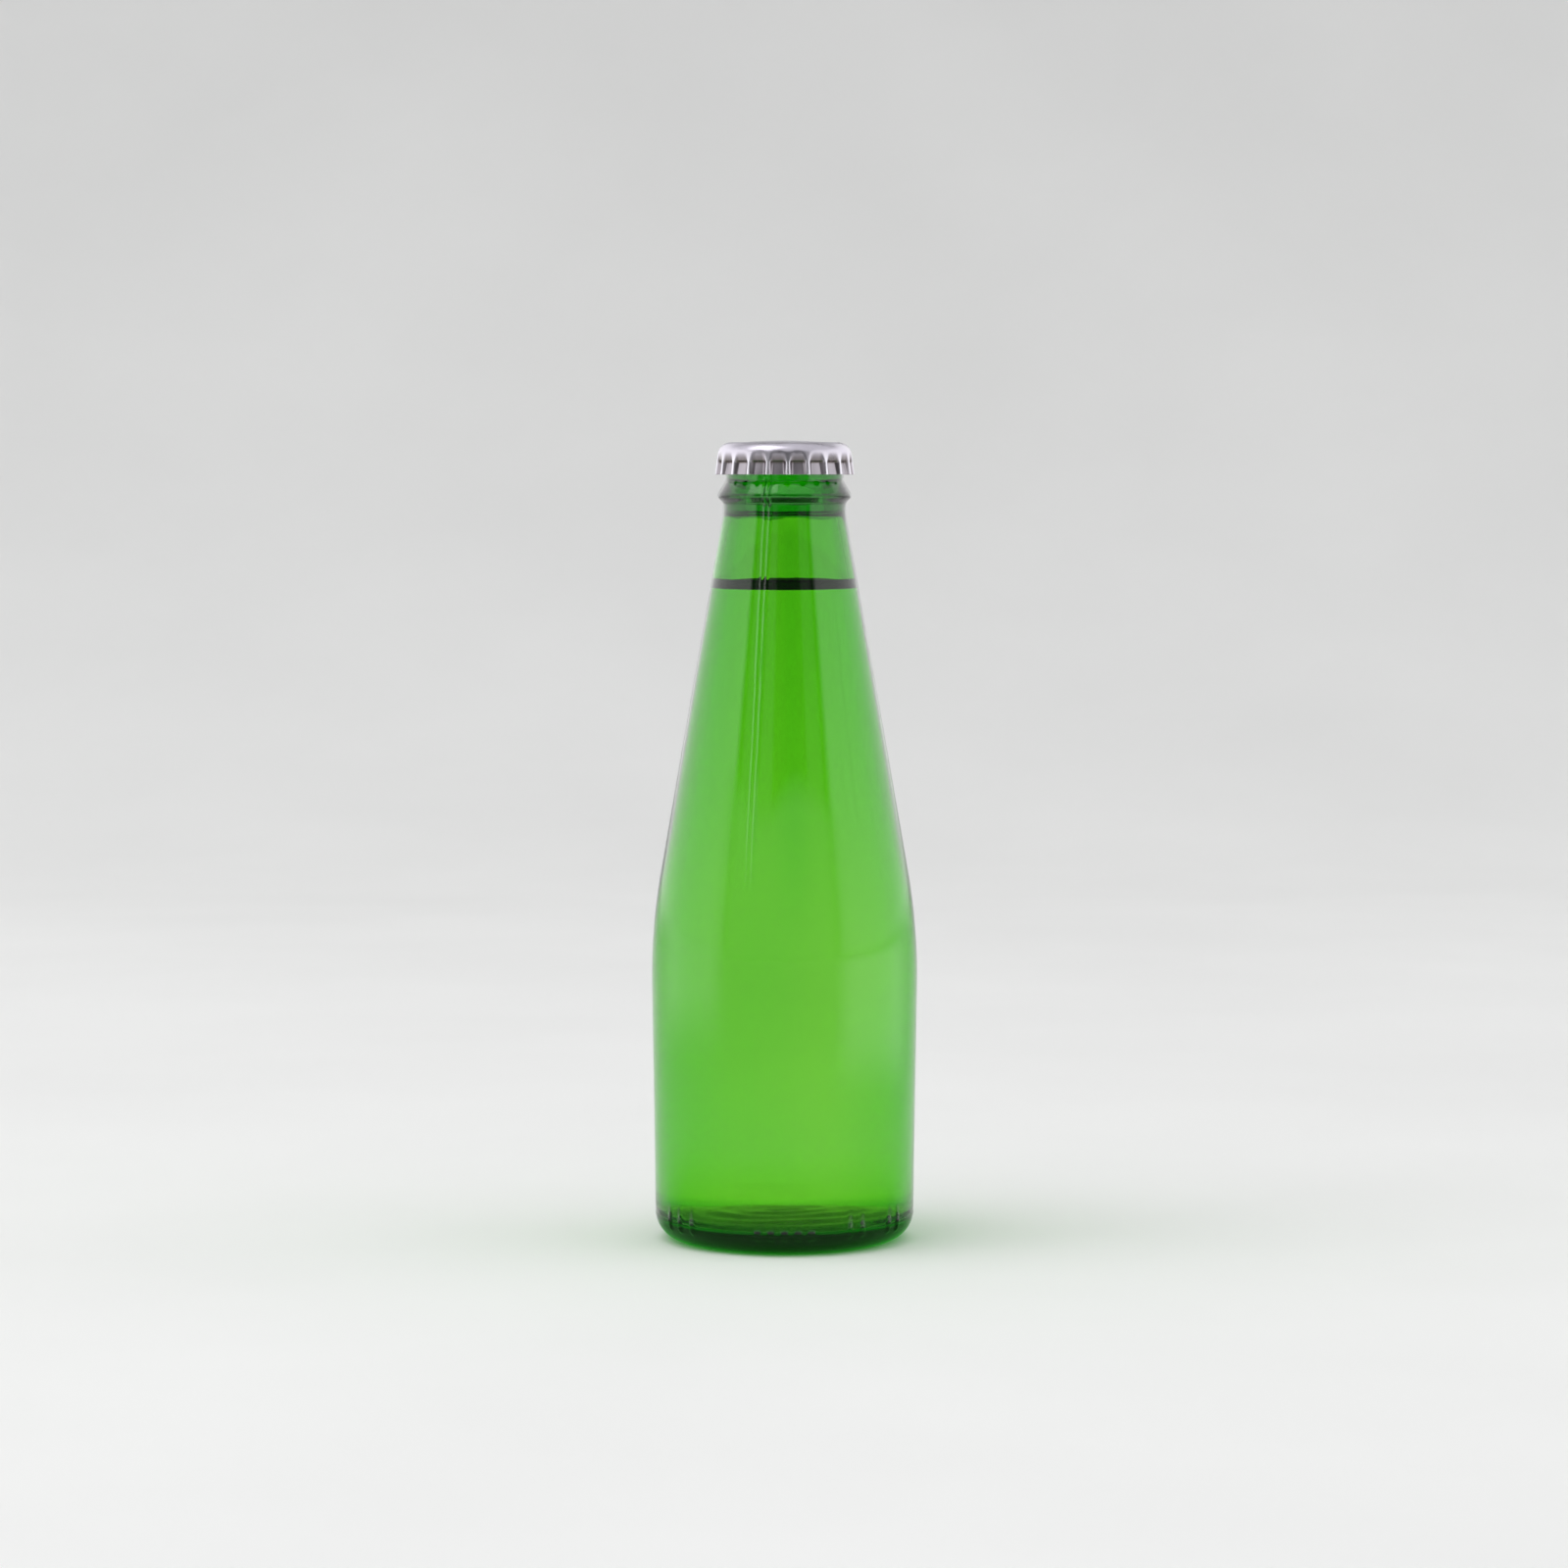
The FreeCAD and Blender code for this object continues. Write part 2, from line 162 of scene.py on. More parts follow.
def rounded_corner(before: Grid, here: Grid, after: Grid, corner: Corner) -> list[Grid]:
    """Points of the arc that rounds a corner.

    Args:
        before: the corner before it.
        here: the corner's own place.
        after: the corner after it.
        corner: its rounding and sampling.

    Returns:
        The arc's points, from the side before to the side after.
    """
    back = (before - here) / np.hypot(*(before - here))
    onward = (after - here) / np.hypot(*(after - here))
    half = math.acos(float(np.clip(back @ onward, -1.0, 1.0))) / 2.0
    middle = (back + onward) / np.hypot(*(back + onward))
    centre = here + middle * corner.rounding / math.sin(half)
    first = here + back * corner.rounding / math.tan(half) - centre
    last = here + onward * corner.rounding / math.tan(half) - centre
    turn = math.pi - 2.0 * half
    steps = max(2, math.ceil(turn * corner.rounding / corner.arc_step))
    arc = []
    for step in range(steps + 1):
        share = step / steps
        weight_first = math.sin((1.0 - share) * turn) / math.sin(turn)
        weight_last = math.sin(share * turn) / math.sin(turn)
        arc.append(centre + weight_first * first + weight_last * last)
    return arc


def section_normals(section: Grid) -> Grid:
    """Unit normals of a sampled section, to the right of its direction of travel."""
    ahead = np.gradient(section, axis=0)
    ahead /= np.hypot(ahead[:, 0], ahead[:, 1])[:, None]
    return np.stack([ahead[:, 1], -ahead[:, 0]], axis=1)


# --------------------------------------------------------------------------- meshes


def turned_piece(name: str, radii: Grid, heights: Grid, rays: Grid) -> bpy.types.Object:
    """A closed mesh round the axis, from a first point on the axis to a last one.

    Args:
        name: name of the object and its mesh.
        radii: radius of each row and ray, in millimetres; the first and last rows are 0.
        heights: height of each row and ray, in millimetres.
        rays: angle of each ray round the bottle, in degrees.

    Returns:
        The new object, shaded smooth.
    """
    turns = np.radians(rays)
    radii, heights = np.broadcast_arrays(radii, heights)
    rows, count = radii.shape
    ring = np.stack([radii * np.sin(turns), -radii * np.cos(turns), heights], axis=-1)[1:-1]
    ends = np.array([[0.0, 0.0, heights[0].mean()], [0.0, 0.0, heights[-1].mean()]])
    vertices = np.concatenate([ring.reshape(-1, 3), ends]) * MM
    bottom, top = (rows - 2) * count, (rows - 2) * count + 1
    here = np.arange(count)
    following = (here + 1) % count
    base = (np.arange(rows - 3) * count)[:, None]
    quads = np.stack([base + here, base + following,
                      base + count + following, base + count + here], axis=-1)
    last = (rows - 3) * count
    fans = [(bottom, b, a) for a, b in zip(here.tolist(), following.tolist())]
    fans += [(top, last + a, last + b) for a, b in zip(here.tolist(), following.tolist())]
    mesh = bpy.data.meshes.new(name)
    mesh.from_pydata(vertices.tolist(), [], fans + quads.reshape(-1, 4).tolist())
    mesh.validate()
    mesh.shade_smooth()
    piece = bpy.data.objects.new(name, mesh)
    bpy.context.scene.collection.objects.link(piece)
    return piece


def paint_rows(piece: bpy.types.Object, first: int, last: int, rays: int, slot: int) -> None:
    """Give the bands between two rows of a turned piece another material slot.

    Args:
        piece: a piece made by turned_piece.
        first: row where the painted bands start.
        last: row where they end.
        rays: how many rays the piece has.
        slot: index of the material slot.
    """
    start = 2 * rays + (first - 1) * rays
    for face in piece.data.polygons[start:start + (last - first) * rays]:
        face.material_index = slot


def spaced_rays(spacing: Callable[[float], float]) -> Grid:
    """Angles round the bottle whose spacing changes from place to place.

    Args:
        spacing: wanted spacing, in degrees, at an angle from -180 to 180.

    Returns:
        The angles, evenly closed over the full turn.
    """
    angle, rays = -180.0, []
    while angle < 180.0:
        rays.append(angle)
        angle += spacing(angle)
    return (np.array(rays) + 180.0) * 360.0 / (angle + 180.0) - 180.0


# --------------------------------------------------------------------------- materials


class NodeTree:
    """Short way to add and join shader nodes of one material."""

    def __init__(self, name: str) -> None:
        """Make an empty material with this name."""
        self.material = bpy.data.materials.new(name)
        self.material.use_nodes = True
        self.nodes = self.material.node_tree.nodes
        self.links = self.material.node_tree.links
        self.nodes.clear()

    def add(self, kind: str, **settings: object) -> Node:
        """Add a node of a kind, with its own settings."""
        node = self.nodes.new(kind)
        for key, value in settings.items():
            setattr(node, key, value)
        return node

    def join(self, source: Socket, target: Socket) -> None:
        """Link one socket to another."""
        self.links.new(source, target)

    def coordinates(self) -> Socket:
        """Object coordinates, in metres."""
        return self.add("ShaderNodeTexCoord").outputs["Object"]

    def noise(self, scale: float, detail: float = 3.0, stretch: Place = (1.0, 1.0, 1.0)) -> Node:
        """Noise over object coordinates.

        Args:
            scale: repeats in a metre.
            detail: octaves.
            stretch: scale of each axis before the noise.

        Returns:
            The noise node.
        """
        mapping = self.add("ShaderNodeMapping")
        mapping.inputs["Scale"].default_value = stretch
        texture = self.add("ShaderNodeTexNoise")
        texture.inputs["Scale"].default_value = scale
        texture.inputs["Detail"].default_value = detail
        self.join(self.coordinates(), mapping.inputs["Vector"])
        self.join(mapping.outputs["Vector"], texture.inputs["Vector"])
        return texture

    def spread(self, source: Socket, low: float, high: float) -> Socket:
        """Map a pattern's middle range to the range from low to high."""
        node = self.add("ShaderNodeMapRange")
        start, end = PATTERN_MIDDLE
        for socket, value in (("From Min", start), ("From Max", end), ("To Min", low), ("To Max", high)):
            node.inputs[socket].default_value = value
        self.join(source, node.inputs["Value"])
        return node.outputs["Result"]

    def bump(self, height: Socket, distance: float) -> Socket:
        """Normal from a height pattern, with its depth in metres."""
        node = self.add("ShaderNodeBump")
        node.inputs["Distance"].default_value = distance
        node.inputs["Strength"].default_value = 1.0
        self.join(height, node.inputs["Height"])
        return node.outputs["Normal"]

    def clear(self, index: float) -> Node:
        """Add a smooth, colourless shader that light goes through, with a refractive index."""
        shader = self.add("ShaderNodeBsdfPrincipled")
        shader.inputs["Base Color"].default_value = (1.0, 1.0, 1.0, 1.0)
        shader.inputs["Roughness"].default_value = 0.0
        shader.inputs["IOR"].default_value = index
        shader.inputs["Transmission Weight"].default_value = 1.0
        return shader

    def surface(self, shader: Socket) -> Node:
        """Send a shader to the material's surface and return the output node."""
        output = self.add("ShaderNodeOutputMaterial")
        self.join(shader, output.inputs["Surface"])
        return output

    def lit_through(self, shader: Socket, tint: Colour) -> Node:
        """Surface that lets lamps shine through it, tinted, and otherwise has the shader.

        Args:
            shader: what every ray but a shadow ray sees.
            tint: share of a lamp's light that one passage lets by.

        Returns:
            The material's output node.
        """
        clear = self.add("ShaderNodeBsdfTransparent")
        clear.inputs["Color"].default_value = (*tint, 1.0)
        paths = self.add("ShaderNodeLightPath")
        mix = self.add("ShaderNodeMixShader")
        self.join(paths.outputs["Is Shadow Ray"], mix.inputs["Fac"])
        self.join(shader, mix.inputs[1])
        self.join(clear.outputs["BSDF"], mix.inputs[2])
        return self.surface(mix.outputs["Shader"])


@dataclass(frozen=True)
class GreenGlass:
    """Clear green bottle glass: smooth, with the faint ripple that a mould leaves."""

    density: float = 1290.0
    passed: Colour = (0.543, 0.896, 0.02)
    index: float = 1.52
    ripple_depth: float = 0.00001
    ripple_scale: float = 70.0
    lamp_share: Colour = (0.96, 0.96, 0.96)

    def material(self) -> bpy.types.Material:
        """Make the glass with its colour in its volume."""
        tree = NodeTree("green_bottle_glass")
        glass = tree.clear(self.index)
        ripple = tree.noise(self.ripple_scale, 2.0, (1.0, 1.0, 0.35))
        tree.join(tree.bump(ripple.outputs["Fac"], self.ripple_depth), glass.inputs["Normal"])
        output = tree.lit_through(glass.outputs["BSDF"], self.lamp_share)
        absorption = tree.add("ShaderNodeVolumeAbsorption")
        absorption.inputs["Color"].default_value = (*self.passed, 1.0)
        absorption.inputs["Density"].default_value = self.density
        tree.join(absorption.outputs["Volume"], output.inputs["Volume"])
        return tree.material


@dataclass(frozen=True)
class ClearWater:
    """Clear soda water."""

    index: float = 1.333
    lamp_share: Colour = (0.98, 0.98, 0.98)

    def material(self) -> bpy.types.Material:
        """Make the water, with no colour of its own."""
        tree = NodeTree("clear_soda_water")
        tree.lit_through(tree.clear(self.index).outputs["BSDF"], self.lamp_share)
        return tree.material


@dataclass(frozen=True)
class MeniscusPaintedShade:
    """Curved edge of the water's surface, painted nearly black: painted shade in place of the dark band
    that its bending of light gives.
    """

    # painted shade: the nearly black colour of the clear water's curved edge
    colour: Colour = (0.002, 0.012, 0.004)
    roughness: float = 0.35

    def material(self) -> bpy.types.Material:
        """Make the painted dark edge, with a faint unevenness in its shade."""
        tree = NodeTree("meniscus_painted_shade")
        edge = tree.add("ShaderNodeBsdfPrincipled")
        edge.inputs["Specular IOR Level"].default_value = 0.1
        shade = tree.add("ShaderNodeHueSaturation")
        shade.inputs["Color"].default_value = (*self.colour, 1.0)
        tree.join(tree.spread(tree.noise(160.0).outputs["Fac"], 0.4, 1.6), shade.inputs["Value"])
        tree.join(shade.outputs["Color"], edge.inputs["Base Color"])
        edge.inputs["Roughness"].default_value = self.roughness
        tree.surface(edge.outputs["BSDF"])
        return tree.material


@dataclass(frozen=True)
class Tinplate:
    """Satin tinplate under clear lacquer, with rolling lines and small scuffs, painted shade in the flute
    valleys and creases, and a painted highlight on the ridges.
    """

    colour: Colour = (0.56, 0.53, 0.60)
    # painted highlight: the lighter tone of the ridge crests
    ridge_highlight_tone: Colour = (0.72, 0.70, 0.76)
    # painted shade: the dark tone of the flute valleys and the crease
    valley_shade: Colour = (0.16, 0.135, 0.13)
    cloud_scale: float = 180.0
    line_scale: float = 900.0
    line_depth: float = 0.000006

    def material(self) -> bpy.types.Material:
        """Make the metal with its rolling lines and scuffs, with painted shade in the valleys and a
        painted highlight on the ridges.
        """
        tree = NodeTree("satin_tinplate")
        metal = tree.add("ShaderNodeBsdfPrincipled")
        metal.inputs["Metallic"].default_value = 1.0
        cloud = tree.noise(self.cloud_scale, 4.0)
        lines = tree.noise(self.line_scale, 3.0, (0.06, 1.0, 1.0))
        valley_shade_node = tree.add("ShaderNodeAttribute", attribute_name=VALLEY_SHADE)
        ridge = tree.add("ShaderNodeAttribute", attribute_name=RIDGE_HIGHLIGHT)
        # painted highlight on the ridges, then painted shade in the valleys, read from the cap's point
        # attributes
        ridge_highlight_tone = self.blend(tree, self.colour, self.ridge_highlight_tone, ridge.outputs["Fac"])
        tone = self.blend(tree, ridge_highlight_tone, self.valley_shade, valley_shade_node.outputs["Fac"])
        shade = tree.add("ShaderNodeHueSaturation")
        tree.join(tone, shade.inputs["Color"])
        tree.join(tree.spread(cloud.outputs["Fac"], 0.9, 1.06), shade.inputs["Value"])
        tree.join(shade.outputs["Color"], metal.inputs["Base Color"])
        tree.join(tree.spread(cloud.outputs["Fac"], 0.24, 0.38), metal.inputs["Roughness"])
        tree.join(tree.bump(lines.outputs["Fac"], self.line_depth), metal.inputs["Normal"])
        tree.surface(metal.outputs["BSDF"])
        return tree.material

    def blend(self, tree: NodeTree, first: Colour | Socket, second: Colour,
              share: Socket) -> Socket:
        """Mix two colours by a share.

        Args:
            tree: the material's nodes.
            first: colour, or socket of one, where the share is 0.
            second: colour where the share is 1.
            share: the share.

        Returns:
            The mixed colour.
        """
        mix = tree.add("ShaderNodeMix", data_type="RGBA")
        if isinstance(first, tuple):
            mix.inputs[6].default_value = (*first, 1.0)
        else:
            tree.join(first, mix.inputs[6])
        mix.inputs[7].default_value = (*second, 1.0)
        tree.join(share, mix.inputs["Factor"])
        return mix.outputs[2]


@dataclass(frozen=True)
class PaleSurface:
    """Plain pale paper of the floor and backdrop."""

    colour: Colour = (0.86, 0.86, 0.85)

    def material(self) -> bpy.types.Material:
        """Make the paper with a very faint unevenness."""
        tree = NodeTree("pale_paper")
        paper = tree.add("ShaderNodeBsdfPrincipled")
        paper.inputs["Roughness"].default_value = 0.9
        paper.inputs["Specular IOR Level"].default_value = 0.1
        shade = tree.add("ShaderNodeHueSaturation")
        shade.inputs["Color"].default_value = (*self.colour, 1.0)
        tree.join(tree.spread(tree.noise(6.0).outputs["Fac"], 0.98, 1.02), shade.inputs["Value"])
        tree.join(shade.outputs["Color"], paper.inputs["Base Color"])
        tree.surface(paper.outputs["BSDF"])
        return tree.material


# --------------------------------------------------------------------------- the bottle


@dataclass(frozen=True)
class HeelMark:
    """A low mark moulded on the heel.

    turn places it round the bottle, height up it; the half sizes and the rise are its own.
    """

    turn: float
    height: float
    half_width: float
    half_length: float
    rise: float

    def relief(self, rays: Grid, heights: Grid, radii: Grid) -> Grid:
        """How far the glass stands out for this mark, over the rows and rays."""
        across = np.radians(angle_between(rays, self.turn)) * radii / self.half_width
        along = (heights - self.height) / self.half_length
        return self.rise * np.sqrt(np.clip(1.0 - across ** 2 - along ** 4, 0.0, None))


@dataclass
class GlassBottle:
    """The green glass bottle, with its mould seams, heel marks and uneven wall."""

    push_up: float = 2.4
    bearing_inner: float = 19.0
    foot_radius: float = 26.65
    heel_rounding: float = 5.9
    shoulder_radius: float = 27.6
    shoulder_height: float = 64.5
    shoulder_rounding: float = 125.0
    neck_radius: float = 12.62
    cone_top: float = 149.5
    bead_foot: float = 151.9
    bead_height: float = 153.23
    bead_radius: float = 13.95
    finish_radius: float = 12.08
    finish_foot: float = 156.4
    ring_foot: float = 159.9
    ring_height: float = 161.0
    ring_radius: float = 12.9
    lip_height: float = 164.0
    lip_rounding: float = 2.4
    wall: float = 2.1
    floor_height: float = 7.2
    floor_edge: float = 3.9
    inner_heel: float = 2.4
    bore_radius: float = 8.0
    bore_foot: float = 149.95
    bore_rounding: float = 0.4
    mouth_rounding: float = 0.8
    lip_middle: float = 9.6
    flare_foot: float = 149.4
    flare_rounding: float = 0.8
    seam_turn: float = -16.2
    seam_rise: float = 0.25
    seam_half_width: float = 0.28
    seam_gap: float = 1.1
    back_seam_share: float = 0.25
    seam_fade_low: float = 70.0
    seam_fade_high: float = 92.0
    seam_reach: float = 2.4
    mark_rise: float = 0.42
    dot_count: int = 5
    dot_pitch: float = 5.9
    dot_height: float = 4.4
    rib_height: float = 4.8
    rib_turns: tuple[float, ...] = (-61.0, -53.0, -45.0, 30.0, 36.5, 52.5, 59.5)
    body_thinning: float = 0.55
    floor_unevenness: float = 0.14
    floor_steps: int = 26
    finish: GreenGlass = field(default_factory=GreenGlass)

    def outside(self) -> Grid:
        """Half section of the outside, from the hollow under the base to the middle of the lip."""
        base = dome_corners(self.bearing_inner, 0.0, self.push_up, 9)
        corners = base + [
            Corner(self.foot_radius, 0.0, self.heel_rounding, 1.9, 0.3),
            Corner(self.shoulder_radius, self.shoulder_height, self.shoulder_rounding, 3.0, 1.6),
            Corner(self.neck_radius, self.cone_top, 14.0, 0.8, 0.35),
            Corner(self.neck_radius, self.bead_foot, 0.6, 0.5, 0.12),
            Corner(self.bead_radius, self.bead_height, 1.0, 0.5, 0.15),
            Corner(self.finish_radius, self.finish_foot, 1.5, 0.6, 0.2),
            Corner(self.finish_radius, self.ring_foot, 0.4, 0.5, 0.15),
            Corner(self.ring_radius, self.ring_height, 0.4, 0.5, 0.15),
            Corner(self.ring_radius, self.lip_height, self.lip_rounding, 0.6, 0.4),
            Corner(self.lip_middle, self.lip_height),
        ]
        return sample_section(corners)

    def inside(self) -> Grid:
        """Half section of the inside, from the middle of the lip down to the floor's centre."""
        corners = [
            Corner(self.lip_middle, self.lip_height),
            Corner(self.bore_radius, self.lip_height, self.mouth_rounding, 1.6, 0.25),
            Corner(self.bore_radius, self.bore_foot, self.bore_rounding, 0.4, 0.12),
            Corner(self.inner_cone_radius(self.flare_foot), self.flare_foot,
                   self.flare_rounding, 2.6, 0.15),
        ]
        return sample_section(corners + self.lower_inside()[::-1])

    def lower_inside(self) -> list[Corner]:
        """Corners of the inside from the floor's centre up to where the neck cone starts."""
        thin = self.wall - self.body_thinning
        reach = self.foot_radius - thin
        floor = dome_corners(reach, self.floor_edge, self.floor_height, self.floor_steps)
        room_for_rounding = 3.0
        while floor[-2].radius > reach - room_for_rounding:
            del floor[-2]
        edge = floor.pop()
        shoulder_rounding = self.shoulder_rounding - thin
        return floor + [
            Corner(edge.radius, edge.height, self.inner_heel, 2.4, 0.4),
            Corner(self.shoulder_radius - thin, self.shoulder_height, shoulder_rounding, 3.0, 2.0),
        ]

    def inner_cone_radius(self, height: float) -> float:
        """Inside radius of the neck cone at a height."""
        share = (height - self.shoulder_height) / (self.cone_top - self.shoulder_height)
        low, top = self.shoulder_radius + self.body_thinning, self.neck_radius
        return low + (top - low) * share - self.wall

    def marks(self) -> list[HeelMark]:
        """The marks on the heel: a row of dots in front, and short plain ribs to both sides."""
        dot_turns = [(step - self.dot_count // 2) * self.dot_pitch for step in range(self.dot_count)]
        dots = [HeelMark(turn, self.dot_height, 0.85, 1.1, self.mark_rise) for turn in dot_turns]
        ribs = [HeelMark(turn, self.rib_height, 0.60, 1.45, self.mark_rise) for turn in self.rib_turns]
        return dots + ribs

    def outer_relief(self, rays: Grid, heights: Grid, radii: Grid) -> Grid:
        """Relief of the outside: heel marks, mould seams and a slight unevenness.

        Args:
            rays: angle of each ray.
            heights: height of each row, as a column.
            radii: radius of each row, as a column.

        Returns:
            How far each point stands out along the section's normal.
        """
        relief = sum(mark.relief(rays, heights, radii) for mark in self.marks())
        for turn, share in ((self.seam_turn, 1.0), (self.seam_turn + 180.0, self.back_seam_share)):
            relief = relief + share * self.seam_relief(turn, rays, heights, radii)
        turns = np.radians(rays)
        swell = 0.035 * np.cos(2.0 * turns + 0.6) + 0.02 * np.cos(3.0 * turns + heights / 31.0)
        return relief + swell * smooth_step(9.0, 20.0, heights) * smooth_step(151.0, 145.0, heights)

    def seam_relief(self, turn: float, rays: Grid, heights: Grid, radii: Grid) -> Grid:
        """Relief of one mould seam: two rough thin ridges that wander a little and fade downwards.

        Args:
            turn: where the seam is, round the bottle.
            rays: angle of each ray.
            heights: height of each row, as a column.
            radii: radius of each row, as a column.

        Returns:
            How far the seam stands out at each point.
        """
        faded = 0.25 + 0.75 * smooth_step(self.seam_fade_low, self.seam_fade_high, heights)
        below_finish = smooth_step(self.finish_foot + 1.0, self.finish_foot, heights)
        above_heel = smooth_step(7.0, 11.0, heights) * below_finish
        wander = 0.05 * np.sin(heights / 6.3) + 0.03 * np.sin(heights / 1.9 + 1.0)
        wander = wander + 0.02 * np.sin(heights / 0.7)
        rough = 1.0 + 0.3 * np.sin(heights / 1.1 + 2.0 * np.sin(heights / 2.9))
        rough = rough + 0.2 * np.sin(heights / 0.43)
        across = np.radians(angle_between(rays, turn)) * radii + wander
        right, left = (np.exp(-((across + side * self.seam_gap / 2.0) / self.seam_half_width) ** 2)
                       for side in (-1.0, 1.0))
        return self.seam_rise * rough * faded * above_heel * (right + 0.7 * left)

    def inner_relief(self, rays: Grid, heights: Grid) -> Grid:
        """Uneven wall: how far the inside stands in towards the axis, in long upright streaks."""
        turns = np.radians(rays)
        streaks = sum(depth * np.cos(waves * turns + phase + heights * slant)
                      for depth, waves, phase, slant in WALL_STREAKS)
        centre_streak = 0.35 * np.exp(-(angle_between(rays, 4.5) / 8.0) ** 2)
        upper = smooth_step(58.0, 84.0, heights)
        between = smooth_step(9.0, 16.0, heights) * smooth_step(149.0, 145.0, heights)
        lower = 0.04 * np.sin(heights / 7.0 + 2.0 * np.sin(turns * 2.0))
        bore_edge = 0.06 * np.cos(7.0 * turns + 1.0) * np.exp(-(heights - self.bore_foot + 0.7) ** 2)
        patches = sum(depth * np.exp(-(angle_between(rays, turn) / PATCH_TURN) ** 2
                                     - ((heights - height) / PATCH_HEIGHT) ** 2)
                      for turn, height, depth in WALL_PATCHES)
        uneven = streaks + centre_streak * upper + lower * (1.0 - upper) + patches
        return uneven * between + bore_edge

    def floor_waves(self, rays: Grid, heights: Grid, radii: Grid) -> Grid:
        """Uneven inside floor, in shallow waves that die out before its edge."""
        turns = np.radians(rays)
        fade = smooth_step(self.foot_radius - 5.0, self.foot_radius - 8.0, radii) * (heights < 12.0)
        rings = np.sin(1.35 * radii + 1.2 * np.sin(2.0 * turns + 0.5))
        lobes = np.sin(4.0 * turns + 0.55 * radii) * smooth_step(3.0, 9.0, radii)
        return self.floor_unevenness * fade * (rings + 0.6 * lobes)

    def rays(self) -> Grid:
        """Angles of the mesh: close over the heel marks and closer at the seams."""
        seams = (self.seam_turn, self.seam_turn + 180.0)
        marked_half_turn = 65.0
        at_seam, at_marks, elsewhere = 0.25, 0.65, 2.2

        def spacing(angle: float) -> float:
            if min(abs(angle_between(np.array(angle), turn)) for turn in seams) < self.seam_reach:
                return at_seam
            return at_marks if abs(angle) < marked_half_turn else elsewhere
        return spaced_rays(spacing)

    def build(self) -> bpy.types.Object:
        """Make the bottle's closed mesh, dress it and let it stand for its CAD node."""
        rays = self.rays()
        outer, inner = self.outside(), self.inside()
        section = np.concatenate([outer, inner[1:]])
        normals = section_normals(section)
        radii, heights = section[:, :1], section[:, 1:]
        relief = np.zeros((len(section), len(rays)))
        split = len(outer)
        relief[:split] = self.outer_relief(rays, heights[:split], radii[:split])
        relief[split:] = self.inner_relief(rays, heights[split:])
        relief[split:] += self.floor_waves(rays, heights[split:], radii[split:])
        shown_radii = radii + normals[:, :1] * relief
        shown_radii[0] = shown_radii[-1] = 0.0
        shown_heights = heights + normals[:, 1:] * relief
        shown_heights[:split] = np.maximum(shown_heights[:split], 0.0)
        piece = turned_piece("glass_bottle_shell", shown_radii, shown_heights, rays)
        piece.data.materials.append(self.finish.material())
        return dressed(piece, "glass_bottle")


@dataclass
class SodaFill:
    """The soda water: its side reaches just into the glass, and its rim climbs the wall, where the
    water's edge is painted nearly black as shade.
    """

    bottle: GlassBottle
    level: float = 134.2
    rim_rise: float = 2.0
    rim_width: float = 2.8
    reach: float = 0.12
    rim_steps: int = 12
    ray_count: int = 240
    finish: ClearWater = field(default_factory=ClearWater)
    edge_painted_shade: MeniscusPaintedShade = field(default_factory=MeniscusPaintedShade)

    def section(self) -> Grid:
        """Half section from the floor's centre, up the wall and over the surface."""
        rim_height = self.level + self.rim_rise
        rim_radius = self.bottle.inner_cone_radius(rim_height)
        corners = self.bottle.lower_inside() + [
            Corner(self.bottle.inner_cone_radius(self.level), self.level, step=0.7),
            Corner(rim_radius, rim_height),
        ]
        return np.concatenate([sample_section(corners), self.surface(rim_radius)])

    def surface(self, rim_radius: float) -> Grid:
        """Points of the surface, from just inside the rim to the axis."""
        ball = (self.rim_width ** 2 + self.rim_rise ** 2) / (2.0 * self.rim_rise)
        shares = np.linspace(1.0, 0.0, self.rim_steps + 1)[1:]
        across = self.rim_width * shares
        curved = np.stack([rim_radius - self.rim_width + across,
                           self.level + ball - np.sqrt(ball ** 2 - across ** 2)], axis=1)
        flat_radii = np.linspace(rim_radius - self.rim_width, 0.0, 7)[1:]
        flat = np.stack([flat_radii, np.full_like(flat_radii, self.level)], axis=1)
        return np.concatenate([curved, flat])

    def build(self) -> bpy.types.Object:
        """Make the water's closed mesh, dress it and let it stand for its CAD node."""
        rays = np.arange(self.ray_count) * 360.0 / self.ray_count - 180.0
        section = self.section()
        normals = section_normals(section)
        radii, heights = section[:, :1], section[:, 1:]
        rim_row = int(np.argmax(section[:, 1]))
        wet = np.zeros(len(section))
        wet[:rim_row + 1] = 1.0
        out = self.reach - self.bottle.inner_relief(rays, heights)
        out = out - self.bottle.floor_waves(rays, heights, radii)
        shown_radii = radii + normals[:, :1] * out * wet[:, None]
        shown_heights = heights + normals[:, 1:] * out * wet[:, None]
        shown_heights[rim_row] = heights[rim_row]
        shown_radii[0] = shown_radii[-1] = 0.0
        piece = turned_piece("soda_water_fill", shown_radii, shown_heights, rays)
        piece.data.materials.append(self.finish.material())
        piece.data.materials.append(self.edge_painted_shade.material())
        # Painted shade: from the water line up over the curved rim, the water gets the nearly black
        # material.
        contact_row = int(np.argmax(section[:, 1] > self.level - 0.01))
        paint_rows(piece, contact_row, rim_row + self.rim_steps, self.ray_count, 1)
        return dressed(piece, "soda_water")


